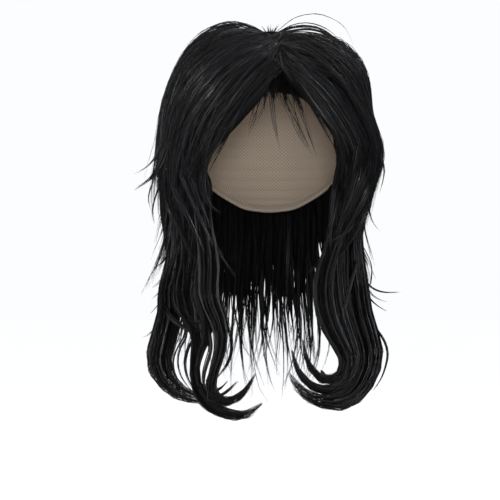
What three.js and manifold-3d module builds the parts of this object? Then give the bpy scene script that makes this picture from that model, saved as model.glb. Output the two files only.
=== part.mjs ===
// A shaggy layered wig: a hollow cap with layers of hair locks fixed to it.
// Millimetres, +Z up, face opening towards -Y. The origin is inside the top of the cap,
// where the crown of a head bears.
import * as THREE from "three";
import { LoftGeometry } from "three/addons/geometries/LoftGeometry.js";
import { mergeVertices } from "three/addons/utils/BufferGeometryUtils.js";
import Module from "manifold-3d";

const wasm = await Module();
wasm.setup();

// Driving dimensions
const HEAD_HALF_WIDTH = 76;
const HEAD_HALF_LENGTH = 94;
const HEAD_HALF_HEIGHT = 85;
const CAP_WALL = 1.5;
const SEAT_GAP = 0.3;
const LAYER_GAP = 1.5;

// The cap's lower edge: height at each turn round the head, front to nape, the same on both sides
const CAP_EDGE = [
  { turn: 0, up: -34 },
  { turn: 30, up: -40 },
  { turn: 52, up: -72 },
  { turn: 72, up: -116 },
  { turn: 92, up: -100 },
  { turn: 118, up: -126 },
  { turn: 150, up: -146 },
  { turn: 180, up: -149 },
];
const CAP_TURNS = 32;
const HEAD_POLARS = [150, 132, 114, 96, 78, 58, 38, 19, 0];

// Sections of the hair's outside, from the crown whorl down: height, and reach from the head's axis
const OUTSIDE = [
  { up: 27, middle: -14, left: 3, right: 3, front: 3, back: 3 },
  { up: 36, middle: -8, left: 38, right: 40, front: 36, back: 44 },
  { up: 22, middle: -2, left: 73, right: 71, front: 74, back: 86 },
  { up: -8, middle: 0, left: 95, right: 95, front: 102, back: 117 },
  { up: -48, middle: 0, left: 109, right: 103, front: 111, back: 134 },
  { up: -90, middle: 0, left: 114, right: 114, front: 102, back: 138 },
  { up: -135, middle: 0, left: 114, right: 105, front: 84, back: 130 },
  { up: -185, middle: 0, left: 104, right: 95, front: 74, back: 110 },
  { up: -240, middle: 0, left: 112, right: 99, front: 78, back: 100 },
  { up: -302, middle: 0, left: 127, right: 121, front: 92, back: 108 },
  { up: -352, middle: 0, left: 112, right: 106, front: 100, back: 118 },
];

// What the hair lies on at the same sections: the cap down to the cheek, then room for jaw and neck
const CAP_ROWS = [
  { polar: 2, middle: -13 },
  { polar: 24, middle: -7 },
  { polar: 46, middle: -2 },
  { polar: 66, middle: 0 },
  { polar: 84, middle: 0 },
  { polar: 103, middle: 0 },
  { polar: 122, middle: 0 },
];
const NECK_ROOM = [
  { up: -182, middle: 0, side: 60, front: 56, back: 64 },
  { up: -240, middle: 0, side: 58, front: 50, back: 60 },
  { up: -300, middle: 0, side: 58, front: 60, back: 66 },
  { up: -350, middle: 0, side: 54, front: 72, back: 78 },
];

// Share of the hair's depth under each layer, at rising distance (drop) from the whorl
const LAYER_FLOORS = [
  { drop: 0, crown: 0, curtain: 0, middle: 0 },
  { drop: 1, crown: 0, curtain: 0, middle: 0 },
  { drop: 1.7, crown: 0, curtain: 0.36, middle: 0 },
  { drop: 2.5, crown: 0, curtain: 0.4, middle: 0 },
  { drop: 3, crown: 0.12, curtain: 0.42, middle: 0 },
  { drop: 3.5, crown: 0.34, curtain: 0.46, middle: 0 },
  { drop: 4, crown: 0.45, curtain: 0.5, middle: 0 },
  { drop: 4.5, crown: 0.52, curtain: 0.54, middle: 0.05 },
  { drop: 5, crown: 0.6, curtain: 0.58, middle: 0.22 },
  { drop: 6, crown: 0.8, curtain: 0.66, middle: 0.35 },
  { drop: 7, crown: 1, curtain: 0.8, middle: 0.62 },
  { drop: 8, crown: 1, curtain: 1, middle: 1 },
];

// The parting: where it lies, and how the hair on each side of it swings away as it falls
const PARTING_TURN = 9;
const SWING_FROM_DROP = 1.8;
const SWING = {
  left: { most: -44, range: 80, done: 6 },
  right: { most: 62, range: 105, done: 5.2 },
};
const ROOT_SINK = 0.06;

// A lock's section across its width: share of half the width, share of its depth
const LOCK_SECTION = [
  { across: -1, deep: 0 },
  { across: 0, deep: 0 },
  { across: 1, deep: 0 },
  { across: 1, deep: 0.62 },
  { across: 0.5, deep: 0.92 },
  { across: 0, deep: 1 },
  { across: -0.5, deep: 0.92 },
  { across: -1, deep: 0.62 },
];
const WISP_SECTION = [
  { across: -1, deep: 0 },
  { across: 1, deep: 0 },
  { across: 0.6, deep: 1 },
  { across: -0.6, deep: 1 },
];
const LONG_SECTION = LOCK_SECTION.filter(({ across }) => across !== 0);
const TIP_SHARE = 0.08;

// Drops at which every lock has a section, so that neighbouring locks lie side by side
const LOCK_DROPS = [0.7, 1.3, 2.1, 3, 3.8, 4.6, 5.3, 6, 6.7, 7.4, 8.2, 9];
const DROP_APART = 0.22;

// The eye that the curls are laid out from, and the share of the hair's depth that they lie at
const EYE = new THREE.Vector3(-20, -2000, -188);
const SIGHT_STEPS = 4;
const HALVINGS = 30;
const CURL_SHARES = [
  { up: -260, share: 1 },
  { up: -215, share: 0.8 },
];
const CURL_SIDES = 5;
const CURL_ROUND = 1.3;
const CURL_THICK = 9;

const { lerp, degToRad, radToDeg, clamp, smoothstep } = THREE.MathUtils;

// Value of a table's column between its rows, on a smooth curve through them
function alongRows(rows, column, place) {
  const last = rows.length - 1;
  const at = clamp(place, 0, last);
  const row = Math.min(Math.floor(at), last - 1);
  const near = (i) => rows[clamp(i, 0, last)][column];
  const [a, b, c, d] = [near(row - 1), near(row), near(row + 1), near(row + 2)];
  const t = at - row;
  return b + 0.5 * t * (c - a + t * (2 * a - 5 * b + 4 * c - d + t * (3 * (b - c) + d - a)));
}

// Value of a table's column at a key that its rows need not space evenly, on straight lines
function betweenRows(rows, key, column, place) {
  const next = rows.findIndex((row) => row[key] >= place);
  if (next <= 0) return next === 0 ? rows[0][column] : rows.at(-1)[column];
  const [from, to] = [rows[next - 1], rows[next]];
  return lerp(from[column], to[column], (place - from[key]) / (to[key] - from[key]));
}

// The head's own surface, grown by a wall: polar 0 is the crown, turn 0 the front, turn 90 the +X side
function headPoint(turn, polar, grown) {
  const [t, p] = [degToRad(turn), degToRad(polar)];
  return new THREE.Vector3(
    (HEAD_HALF_WIDTH + grown) * Math.sin(p) * Math.sin(t),
    -(HEAD_HALF_LENGTH + grown) * Math.sin(p) * Math.cos(t),
    (HEAD_HALF_HEIGHT + grown) * Math.cos(p) - HEAD_HALF_HEIGHT,
  );
}

const SEAT = [
  ...CAP_ROWS.map(({ polar, middle }) => ({
    middle,
    up: headPoint(0, polar, CAP_WALL).z,
    side: headPoint(90, polar, CAP_WALL).x,
    front: -headPoint(0, polar, CAP_WALL).y,
    back: headPoint(180, polar, CAP_WALL).y,
  })),
  ...NECK_ROOM,
];

// A point of the hair: turn round the head, drop from the whorl in sections, share of the depth
function hairPoint(turn, drop, share) {
  const [side, ahead] = [Math.sin(degToRad(turn)), -Math.cos(degToRad(turn))];
  const outer = (column) => alongRows(OUTSIDE, column, drop);
  const inner = (column) => alongRows(SEAT, column, drop);
  const outside = new THREE.Vector3(
    side * outer(side < 0 ? "left" : "right"),
    outer("middle") + ahead * outer(ahead < 0 ? "front" : "back"),
    outer("up"),
  );
  const seat = new THREE.Vector3(
    side * inner("side"),
    inner("middle") + ahead * inner(ahead < 0 ? "front" : "back"),
    inner("up"),
  );
  return seat.lerp(outside, share);
}

// The turn at which hair that leaves the whorl at a given turn has arrived after a drop
function swung(turn, drop) {
  const away = turn - PARTING_TURN;
  const { most, range, done } = away < 0 ? SWING.left : SWING.right;
  const nearness = Math.max(0, 1 - Math.abs(away) / range);
  return turn + most * nearness ** 1.1 * smoothstep(drop, SWING_FROM_DROP, done);
}

// Sections of one lock, from its root to its tip
function lockSections(lock) {
  const { turn, half, start, end, floor, roof, lean = 0, hook = 0, flick = 0 } = lock;
  const { taper = 0.62, section = LOCK_SECTION, flow = swung } = lock;
  const between = LOCK_DROPS.filter((drop) => drop > start + DROP_APART && drop < end - DROP_APART);
  return [start, ...between, end].map((drop) => {
    const s = (drop - start) / (end - start);
    const tail = smoothstep(s, taper, 1);
    const width = half * lerp(1, TIP_SHARE, tail * s);
    const sweep = lean * s + hook * s ** 5;
    const middle = flow(turn, drop) + sweep;
    const depth = hairPoint(middle, drop, 1).distanceTo(hairPoint(middle, drop, 0));
    const low = floor(drop) > 0 ? floor(drop) + LAYER_GAP / depth : -ROOT_SINK;
    const high = Math.max(roof(drop) - (roof(drop) < 1 ? LAYER_GAP / depth : 0), low + TIP_SHARE);
    const bottom = lerp(low, high, 0.5 * tail);
    const top = lerp(high, bottom + TIP_SHARE, tail);
    return section.map(({ across, deep }) => {
      const place = flow(turn + across * width, drop) + sweep;
      const out = hairPoint(place, drop, 1).sub(hairPoint(place, drop, 0)).normalize();
      return hairPoint(place, drop, lerp(bottom, top, deep)).addScaledVector(out, flick * tail * tail);
    });
  });
}

// Drop at which hair of a given share has come down to a height, by halving the range
function dropAt(up, share) {
  let [above, below] = [1, OUTSIDE.length - 1];
  for (let step = 0; step < HALVINGS; step += 1) {
    const middle = (above + below) / 2;
    if (hairPoint(0, middle, share).z > up) above = middle;
    else below = middle;
  }
  return above;
}

// The point of the hair that an eye in front sees at a place in the head's middle plane
function seenAt({ across, up }, share) {
  const point = new THREE.Vector3(across, 0, up);
  for (let step = 0; step < SIGHT_STEPS; step += 1) {
    const reach = 1 - point.y / EYE.y;
    point.x = lerp(EYE.x, across, reach);
    point.z = lerp(EYE.z, up, reach);
    const drop = dropAt(point.z, share);
    const widest = hairPoint(point.x < 0 ? -90 : 90, drop, share).x;
    const turn = Math.asin(clamp(point.x / widest, 0, 1));
    point.y = hairPoint(radToDeg(turn), drop, share).y;
  }
  return point;
}

// Sections of one curl, square to its middle line as seen from the front
function curlSections(rows) {
  const middles = rows.map((row) => seenAt(row, betweenRows(CURL_SHARES, "up", "share", row.up)));
  return rows.map(({ half }, i) => {
    const [before, after] = [middles[Math.max(i - 1, 0)], middles[Math.min(i + 1, rows.length - 1)]];
    const ahead = after.clone().sub(before).normalize();
    const side = new THREE.Vector3(0, -1, 0).cross(ahead).normalize();
    const out = ahead.clone().cross(side);
    const thick = Math.min(CURL_ROUND * half, CURL_THICK);
    return Array.from({ length: CURL_SIDES }, (_, corner) => {
      const angle = (2 * Math.PI * corner) / CURL_SIDES;
      const point = middles[i].clone().addScaledVector(side, -Math.cos(angle) * half);
      return point.addScaledVector(out, -Math.sin(angle) * thick);
    });
  });
}

// A closed three.js geometry as a solid, and back again
function toSolid({ attributes, index }) {
  const points = new THREE.BufferGeometry().setAttribute("position", attributes.position).setIndex(index);
  const merged = mergeVertices(points, 1e-4);
  const corners = merged.index.array;
  const triVerts = [];
  for (let i = 0; i < corners.length; i += 3) {
    const [a, b, c] = corners.subarray(i, i + 3);
    if (a !== b && b !== c && c !== a) triVerts.push(a, b, c);
  }
  const mesh = { numProp: 3, triVerts: Uint32Array.from(triVerts) };
  mesh.vertProperties = merged.attributes.position.array;
  return new wasm.Manifold(new wasm.Mesh(mesh));
}

function toGeometry(solid) {
  const { vertProperties, triVerts } = solid.getMesh();
  const geometry = new THREE.BufferGeometry();
  geometry.setAttribute("position", new THREE.BufferAttribute(vertProperties, 3));
  geometry.setIndex(new THREE.BufferAttribute(triVerts, 1));
  geometry.computeVertexNormals();
  return geometry;
}

const TURNS = Array.from({ length: CAP_TURNS }, (_, i) => (360 * i) / CAP_TURNS);

// The head's solid form, grown by a wall, from below the chin up to the crown
function headSolid(grown) {
  const rings = HEAD_POLARS.map((polar) => TURNS.map((turn) => headPoint(turn, polar, grown)));
  return toSolid(new LoftGeometry(rings, { capStart: true }));
}

// Everything below the cap's edge, to trim the cap with
function belowEdge() {
  const edge = (turn) => betweenRows(CAP_EDGE, "turn", "up", Math.min(turn, 360 - turn));
  const ring = (reach, upAt) =>
    TURNS.map((turn) => new THREE.Vector3().setFromCylindricalCoords(reach, degToRad(turn), upAt(turn)));
  const rings = [
    ring(2 * HEAD_HALF_LENGTH, () => -4 * HEAD_HALF_HEIGHT),
    ring(2 * HEAD_HALF_LENGTH, edge),
    ring(HEAD_HALF_WIDTH / 3, edge),
    ring(0, () => -HEAD_HALF_HEIGHT),
  ];
  const yUpToZUp = new THREE.Matrix4().makeRotationX(Math.PI / 2);
  rings.flat().forEach((point) => point.applyMatrix4(yUpToZUp));
  return toSolid(new LoftGeometry(rings, { capStart: true }));
}

function capShell() {
  return headSolid(CAP_WALL).subtract(headSolid(0)).subtract(belowEdge());
}

// The room that the cap and the head in it take, which the hair keeps clear of
const ROOM = headSolid(CAP_WALL + SEAT_GAP);

const bare = () => 0;
const outermost = () => 1;
const floorOf = (layer) => (drop) => betweenRows(LAYER_FLOORS, "drop", layer, drop);

// Locks and curls of one layer fused into one solid, without the pockets between them, and seated on the cap
function fused(locks, curls = []) {
  return [...locks.map(lockSections), ...curls.map(curlSections)]
    .map((sections) => toSolid(new LoftGeometry(sections, { capStart: true, capEnd: true })))
    .reduce((whole, next) => whole.add(next))
    .subtract(ROOM)
    .decompose()
    .reduce((most, next) => (next.volume() > most.volume() ? next : most));
}

// The crown layer goes round from one curtain to the other, with uneven ends
const CROWN = { start: 0.1, half: 9.7 };
const CROWN_ENDS = [
  { turn: 65.5, end: 6.4, flick: 0 },
  { turn: 83, end: 6.1, flick: 2 },
  { turn: 100, end: 5.6, flick: 8 },
  { turn: 118, end: 6, flick: 12 },
  { turn: 136, end: 5.6, flick: 8 },
  { turn: 154, end: 6.2, flick: 14 },
  { turn: 172, end: 5.7, flick: 8 },
  { turn: 190, end: 6.1, flick: 12 },
  { turn: 208, end: 5.6, flick: 8 },
  { turn: 226, end: 6.1, flick: 14 },
  { turn: 244, end: 5.7, flick: 10 },
  { turn: 262, end: 5.5, flick: 18 },
  { turn: 280, end: 5.9, flick: 20 },
  { turn: 296, end: 6.2, flick: 4 },
];

function crownLocks() {
  return CROWN_ENDS.map((row) => ({
    ...CROWN,
    ...row,
    turn: row.turn > 180 ? row.turn - 360 : row.turn,
    floor: floorOf("crown"),
    roof: outermost,
  }));
}

// The parted curtain, its locks in order from the parting outwards
const CURTAIN = { start: 0.1, half: 7.6 };
const CURTAIN_ENDS = {
  left: [
    { turn: 0.4, end: 6.5, hook: 8, flick: -2 },
    { turn: -14.2, end: 6.2, hook: 3, flick: 0 },
    { turn: -28.8, end: 6.4, hook: 0, flick: 2 },
    { turn: -43.2, end: 6, hook: -2, flick: 6 },
  ],
  right: [
    { turn: 17.6, end: 6.5, hook: -10, flick: -2 },
    { turn: 31.8, end: 6.2, hook: -4, flick: 0 },
    { turn: 45.8, end: 6.6, hook: 0, flick: 0 },
  ],
};

function curtainLocks(side) {
  return CURTAIN_ENDS[side].map((row) => ({
    ...CURTAIN,
    ...row,
    floor: floorOf("curtain"),
    roof: outermost,
  }));
}

const upright = (turn) => turn;

// The fringe: a band of short locks along the hairline and thin wisps that fall from it
const FRINGE_BAND = { half: 8.2, start: 1.75, end: 2.75, taper: 1 };
const FRINGE_TURNS = [-22, -7, 8, 23, 38];
const FRINGE_ROOF = 0.32;
const WISP = { half: 1, start: 2.3, section: WISP_SECTION };
const WISP_FLOOR = 0.18;
const WISP_ENDS = [
  { turn: -8, lean: -3, end: 4.1 },
  { turn: 0, lean: 7, end: 4.9 },
  { turn: 13, lean: 9, end: 4.6 },
  { turn: 21, lean: 8, end: 4.8 },
  { turn: 29, lean: 6, end: 4.5 },
];

function fringeLocks() {
  const shared = { roof: () => FRINGE_ROOF, flow: upright };
  const band = FRINGE_TURNS.map((turn) => ({ ...FRINGE_BAND, ...shared, turn, floor: bare }));
  const fromBand = (drop) => (drop < FRINGE_BAND.end ? 0 : WISP_FLOOR);
  const wisps = WISP_ENDS.map((row) => ({ ...WISP, ...shared, ...row, floor: fromBand }));
  return [...band, ...wisps];
}

// The jaw-length layer under the crown
const MIDDLE = { start: 3.15, half: 10.5 };
const MIDDLE_ENDS = {
  left: [
    { turn: -50, lean: 8, end: 7.4, hook: 6, flick: 0 },
    { turn: -69, lean: 4, end: 7.7, hook: 0, flick: 4 },
    { turn: -88, lean: 0, end: 7.6, hook: 0, flick: 14 },
    { turn: -107, lean: 0, end: 7.5, hook: 0, flick: 12 },
  ],
  right: [
    { turn: 58.5, lean: -8, end: 7.5, hook: -16, flick: 0 },
    { turn: 75, lean: -4, end: 7.6, hook: 0, flick: 4 },
    { turn: 92, lean: 0, end: 7.9, hook: 0, flick: 20 },
    { turn: 107, lean: 0, end: 7.4, hook: 0, flick: 12 },
  ],
  back: [
    { turn: 130, end: 7.4, flick: 10 },
    { turn: 150, end: 7.6, flick: 16 },
    { turn: 170, end: 7.3, flick: 10 },
    { turn: 190, end: 7.6, flick: 14 },
    { turn: 210, end: 7.4, flick: 12 },
    { turn: 230, end: 7.5, flick: 10 },
  ],
};

function middleLocks(side) {
  return MIDDLE_ENDS[side].map((row) => ({
    ...MIDDLE,
    ...row,
    floor: floorOf("middle"),
    roof: floorOf("crown"),
    flow: upright,
  }));
}

// The long layer: side locks that fall in front of the shoulders, and the nape
const LONG = { half: 9.6, taper: 0.88, section: LONG_SECTION };
const LONG_ENDS = {
  left: [
    { turn: -62, start: 4.7, lean: 4, end: 8.8, hook: 4 },
    { turn: -78.5, start: 4.8, lean: 4, end: 8.8, hook: 7 },
    { turn: -95, start: 4.9, lean: 4, end: 8.8, hook: 22 },
    { turn: -111.5, start: 5, lean: 2, end: 8.8, hook: 18 },
    { turn: -128, start: 5.3, lean: 0, end: 9, hook: 7 },
  ],
  right: [
    { turn: 62, start: 4.7, lean: -2, end: 8.8, hook: -3 },
    { turn: 78.5, start: 4.8, lean: -2, end: 8.8, hook: -6 },
    { turn: 95, start: 4.9, lean: -2, end: 8.8, hook: -20 },
    { turn: 111.5, start: 5, lean: 0, end: 8.8, hook: -18 },
    { turn: 128, start: 5.3, lean: 0, end: 9, hook: -7 },
  ],
  nape: [
    { turn: 149, start: 5.5, end: 9.3, hook: 8, flick: 4 },
    { turn: 164.5, start: 5.6, end: 9.4, hook: 5, flick: 8 },
    { turn: 180, start: 5.6, end: 9.2, hook: 0, flick: 6 },
    { turn: 195.5, start: 5.6, end: 9.4, hook: -5, flick: 8 },
    { turn: 211, start: 5.5, end: 9.3, hook: -8, flick: 4 },
  ],
};

// The curls that the side locks end in, turned in towards each other: places as the front view shows
// them in the head's middle plane, and half the width there
const CURLS = {
  left: [
    [
      { across: -102, up: -240, half: 11 },
      { across: -105, up: -268, half: 12 },
      { across: -111, up: -292, half: 12 },
      { across: -108, up: -312, half: 10 },
      { across: -100, up: -323, half: 8.5 },
      { across: -88, up: -332, half: 6.5 },
      { across: -72, up: -337, half: 4 },
      { across: -58, up: -341, half: 0.6 },
    ],
    [
      { across: -78, up: -240, half: 15 },
      { across: -67, up: -271, half: 11 },
      { across: -74, up: -293, half: 7.5 },
      { across: -76, up: -312, half: 7 },
      { across: -72, up: -329, half: 7 },
      { across: -62, up: -342, half: 7 },
      { across: -46, up: -351, half: 5.2 },
      { across: -31, up: -355, half: 4 },
      { across: -17, up: -352, half: 2.8 },
      { across: -7, up: -341, half: 0.6 },
    ],
    [
      { across: -59, up: -240, half: 8 },
      { across: -50, up: -268, half: 8 },
      { across: -54, up: -291, half: 7 },
      { across: -63, up: -312, half: 6 },
      { across: -62, up: -329, half: 5.2 },
      { across: -51, up: -340, half: 4.2 },
      { across: -36, up: -339, half: 3.5 },
      { across: -22, up: -327, half: 2.2 },
      { across: -14, up: -311, half: 0.6 },
    ],
  ],
  right: [
    [
      { across: 89, up: -241, half: 12 },
      { across: 99, up: -279, half: 12 },
      { across: 102, up: -297, half: 11 },
      { across: 95, up: -319, half: 9.5 },
      { across: 80, up: -336, half: 9 },
      { across: 62, up: -341, half: 8 },
      { across: 43, up: -338, half: 5 },
      { across: 27, up: -326, half: 4.8 },
      { across: 18, up: -310, half: 2 },
    ],
    [
      { across: 72, up: -241, half: 10 },
      { across: 83, up: -280, half: 9 },
      { across: 87, up: -297, half: 9 },
      { across: 80, up: -316, half: 7.5 },
      { across: 64, up: -328, half: 5 },
      { across: 47, up: -328, half: 3.5 },
      { across: 31, up: -315, half: 3 },
      { across: 24, up: -302, half: 1.8 },
      { across: 21, up: -287, half: 0.6 },
    ],
    [
      { across: 54, up: -241, half: 10 },
      { across: 61, up: -266, half: 9 },
      { across: 74, up: -289, half: 7.5 },
      { across: 77, up: -305, half: 5.8 },
      { across: 68, up: -317, half: 5 },
      { across: 55, up: -320, half: 3.6 },
      { across: 43, up: -311, half: 2.9 },
      { across: 35, up: -295, half: 1.7 },
      { across: 32, up: -277, half: 0.6 },
    ],
  ],
};

function longLocks(side) {
  return LONG_ENDS[side].map((row) => ({
    ...LONG,
    ...row,
    floor: bare,
    roof: floorOf("middle"),
    flow: upright,
  }));
}

const HAIR = new THREE.MeshStandardMaterial({ color: 0x17181b, roughness: 0.45, metalness: 0 });
const CAP_NET = new THREE.MeshStandardMaterial({ color: 0x0d0d0f, roughness: 0.9, metalness: 0 });

const wig = new THREE.Group();

function addPiece(name, geometry, material) {
  const mesh = new THREE.Mesh(geometry, material);
  mesh.name = name;
  wig.add(mesh);
}

addPiece("cap", toGeometry(capShell()), CAP_NET);
addPiece("fringe", toGeometry(fused(fringeLocks())), HAIR);
addPiece("curtain_left", toGeometry(fused(curtainLocks("left"))), HAIR);
addPiece("curtain_right", toGeometry(fused(curtainLocks("right"))), HAIR);
addPiece("crown_layer", toGeometry(fused(crownLocks())), HAIR);
addPiece("side_layer_left", toGeometry(fused(middleLocks("left"))), HAIR);
addPiece("side_layer_right", toGeometry(fused(middleLocks("right"))), HAIR);
addPiece("back_layer", toGeometry(fused(middleLocks("back"))), HAIR);
addPiece("long_layer_left", toGeometry(fused(longLocks("left"), CURLS.left)), HAIR);
addPiece("long_layer_right", toGeometry(fused(longLocks("right"), CURLS.right)), HAIR);
addPiece("nape_layer", toGeometry(fused(longLocks("nape"))), HAIR);

export default wig;
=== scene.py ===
import bpy
import numpy as np
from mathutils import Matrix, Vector


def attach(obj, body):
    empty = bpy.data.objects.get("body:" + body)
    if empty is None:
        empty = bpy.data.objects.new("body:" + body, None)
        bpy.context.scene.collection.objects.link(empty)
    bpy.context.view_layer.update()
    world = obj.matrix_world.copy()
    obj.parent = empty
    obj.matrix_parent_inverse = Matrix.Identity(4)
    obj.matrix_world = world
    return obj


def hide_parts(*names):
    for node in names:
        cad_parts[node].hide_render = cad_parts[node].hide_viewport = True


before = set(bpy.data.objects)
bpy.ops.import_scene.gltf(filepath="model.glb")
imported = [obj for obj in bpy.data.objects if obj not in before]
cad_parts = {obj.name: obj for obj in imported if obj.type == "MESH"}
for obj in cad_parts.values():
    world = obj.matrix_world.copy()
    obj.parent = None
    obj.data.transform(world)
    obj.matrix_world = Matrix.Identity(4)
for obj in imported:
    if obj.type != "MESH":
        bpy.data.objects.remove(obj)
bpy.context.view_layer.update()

# The cap: a dome of stretch net, hemmed round the face, ears and nape with a soft elastic band.
# Knitted polyamide, black outside with a beige lining. One thin shell on the head's form, cut along
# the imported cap's edge; its hem and weft rows are the shell's own wall, thickened inwards.
MM = 0.001
HEAD_WIDE, HEAD_LONG, HEAD_HIGH = 76 * MM, 94 * MM, 85 * MM
CAP_WALL = 1.5 * MM
CAP_EDGE = {
    "turn": (0, 30, 52, 72, 92, 118, 150, 180),
    "up": (-34, -40, -72, -116, -100, -126, -146, -149),
}
EDGE_TURNS = np.arange(-360, 541)
EDGE_ROUNDING = np.hanning(33)
HEM_HIGH, HEM_THICK, HEM_STEP = 8 * MM, 1.2 * MM, 1 * MM
WEFT_APART, WEFT_THICK, WEFT_SHARPNESS = 8, 0.9 * MM, 5
WEFTS_START, WEFTS_FULL, WEFTS_OFF_HEM = 28, 34, 4 * MM
CAP_TURNS, OUTER_RINGS, INNER_RINGS, FIRST_RING = 128, 28, 92, 0.012


def head_point(turn, polar, grown):
    """A point on the head's form, grown by a wall: turn 0 is the front, polar 0 the crown."""
    turn, polar = np.radians(turn), np.radians(polar)
    return np.stack(np.broadcast_arrays(
        (HEAD_WIDE + grown) * np.sin(polar) * np.sin(turn),
        -(HEAD_LONG + grown) * np.sin(polar) * np.cos(turn),
        (HEAD_HIGH + grown) * np.cos(polar) - HEAD_HIGH,
    ), -1)


def smoothstep(value, low, high):
    """A smooth rise from 0 to 1 while a value goes from low to high."""
    share = np.clip((value - low) / (high - low), 0, 1)
    return share * share * (3 - 2 * share)


def placed(name, data):
    """A new object in the scene, at the origin."""
    thing = bpy.data.objects.new(name, data)
    bpy.context.scene.collection.objects.link(thing)
    return thing


def skin(name, rings):
    """A closed mesh over rings of points, shut at both ends by a fan on the end ring's middle."""
    count = rings.shape[1]
    points = np.concatenate((rings.reshape(-1, 3), rings[0].mean(0)[None], rings[-1].mean(0)[None]))
    around = [(step, (step + 1) % count) for step in range(count)]
    faces = [
        (row * count + a, (row + 1) * count + a, (row + 1) * count + b, row * count + b)
        for row in range(len(rings) - 1) for a, b in around
    ]
    first_middle, last_ring = len(points) - 2, (len(rings) - 1) * count
    faces += [(first_middle, a, b) for a, b in around]
    faces += [(first_middle + 1, last_ring + b, last_ring + a) for a, b in around]
    mesh = bpy.data.meshes.new(name)
    mesh.from_pydata(points.tolist(), [], faces)
    mesh.shade_smooth()
    return placed(name, mesh)


edge_up = np.interp(np.abs((EDGE_TURNS + 180) % 360 - 180), CAP_EDGE["turn"], CAP_EDGE["up"]) * MM
edge_up = np.convolve(edge_up, EDGE_ROUNDING / EDGE_ROUNDING.sum(), "same")


def edge_polar(turn):
    """Polar angle of the cap's edge, its corners rounded, at a turn."""
    up = np.interp(turn, EDGE_TURNS, edge_up)
    return np.degrees(np.arccos(np.clip(up / HEAD_HIGH + 1, -1, 1)))


def cap_wall(rings):
    """Turn and polar angle of rings of points from the crown down to the cap's edge."""
    turn = np.linspace(0, 360, CAP_TURNS, endpoint=False)
    polar = edge_polar(turn) * np.linspace(FIRST_RING, 1, rings)[:, None]
    return np.broadcast_to(turn, polar.shape), polar


inner_turn, inner_polar = cap_wall(INNER_RINGS)
from_edge = np.radians(edge_polar(inner_turn) - inner_polar) * HEAD_HIGH
hem = HEM_THICK * (1 - smoothstep(from_edge, HEM_HIGH - HEM_STEP, HEM_HIGH))
wefts = (0.5 + 0.5 * np.cos(2 * np.pi * inner_polar / WEFT_APART)) ** WEFT_SHARPNESS
wefts = wefts * smoothstep(inner_polar, WEFTS_START, WEFTS_FULL)
wefts = wefts * smoothstep(from_edge, HEM_HIGH, HEM_HIGH + WEFTS_OFF_HEM)
cap_net = skin("cap_net", np.concatenate((
    head_point(*cap_wall(OUTER_RINGS), CAP_WALL),
    head_point(inner_turn, inner_polar, -hem - WEFT_THICK * wefts)[::-1],
)))


def linear(code):
    """An sRGB hex colour as linear RGBA."""
    parts = np.array([int(code[i:i + 2], 16) for i in (1, 3, 5)]) / 255
    return (*np.where(parts <= 0.04045, parts / 12.92, ((parts + 0.055) / 1.055) ** 2.4), 1)


def fill(node, inputs):
    """Sets a node's inputs, or links them where the value is another node's socket."""
    for key, value in inputs.items():
        if isinstance(value, bpy.types.NodeSocket):
            node.id_data.links.new(value, node.inputs[key])
        else:
            node.inputs[key].default_value = value


def add(tree, kind, inputs=None, out=0, **settings):
    """Adds a node to a tree, with its settings and inputs, and gives an output of it, or the node."""
    node = tree.nodes.new(kind)
    for name, value in settings.items():
        setattr(node, name, value)
    fill(node, inputs or {})
    return node if out is None else node.outputs[out]


# Polyamide net: matt thread round small lozenge holes, black where the hair is sewn on and beige on
# the lining that meets the head. The real holes are about 1 mm; they are drawn 3.5 mm apart so that
# they show. The dye varies over patches of about 30 mm.
NET_PITCH, NET_RELIEF = 3.5 * MM, 0.4 * MM
HOLE_FROM, HOLE_FULL = 0.3, 0.75
DYE_PATCHES_A_METRE = 30
# The last colour of each net is painted shade in its holes, darker than the thread round them.
for net_name, light_thread, dark_thread, shaded_hole in (
    ("black_polyamide_net", "#161617", "#101011", "#060606"),
    ("beige_polyamide_lining", "#efe2d3", "#e6d6c4", "#cdb9a4"),
):
    net_material = bpy.data.materials.new(net_name)
    net_material.use_nodes = True
    net = net_material.node_tree
    place = add(net, "ShaderNodeTexCoord", out="Object")
    across, ahead, up = add(net, "ShaderNodeSeparateXYZ", {0: place}, out=None).outputs
    turned = add(net, "ShaderNodeMath", {0: across, 1: ahead}, operation="ARCTAN2")
    girth = add(net, "ShaderNodeMath", {0: turned, 1: HEAD_HIGH}, operation="MULTIPLY")
    threads = {}
    for number, way in enumerate(("ADD", "SUBTRACT")):
        slant = add(net, "ShaderNodeMath", {0: girth, 1: up}, operation=way)
        slant = add(net, "ShaderNodeMath", {0: slant, 1: np.pi / NET_PITCH}, operation="MULTIPLY")
        slant = add(net, "ShaderNodeMath", {0: slant}, operation="SINE")
        threads[number] = add(net, "ShaderNodeMath", {0: slant}, operation="ABSOLUTE")
    gap = add(net, "ShaderNodeMath", threads, operation="MULTIPLY")
    gap = add(net, "ShaderNodeMapRange", {"Value": gap, "From Min": HOLE_FROM, "From Max": HOLE_FULL})
    wear = add(net, "ShaderNodeTexNoise", {"Vector": place, "Scale": DYE_PATCHES_A_METRE, "Detail": 3})
    dye = add(net, "ShaderNodeMix", {
        0: wear, 6: linear(dark_thread), 7: linear(light_thread),
    }, data_type="RGBA", out=2)
    # Painted shade: the holes take a darker colour than the thread.
    colour = add(net, "ShaderNodeMix", {0: gap, 6: dye, 7: linear(shaded_hole)}, data_type="RGBA", out=2)
    relief = add(net, "ShaderNodeBump", {
        "Strength": 0.5, "Distance": NET_RELIEF, "Height": gap,
    }, invert=True)
    fill(net.nodes["Principled BSDF"], {"Base Color": colour, "Normal": relief, "Roughness": 0.85})
    cap_net.data.materials.append(net_material)
for face in cap_net.data.polygons:
    middle = np.array(face.center) + (0, 0, HEAD_HIGH)
    face.material_index = int(np.dot(middle, face.normal) < 0)
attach(cap_net, "root")
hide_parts("cap")

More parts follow.
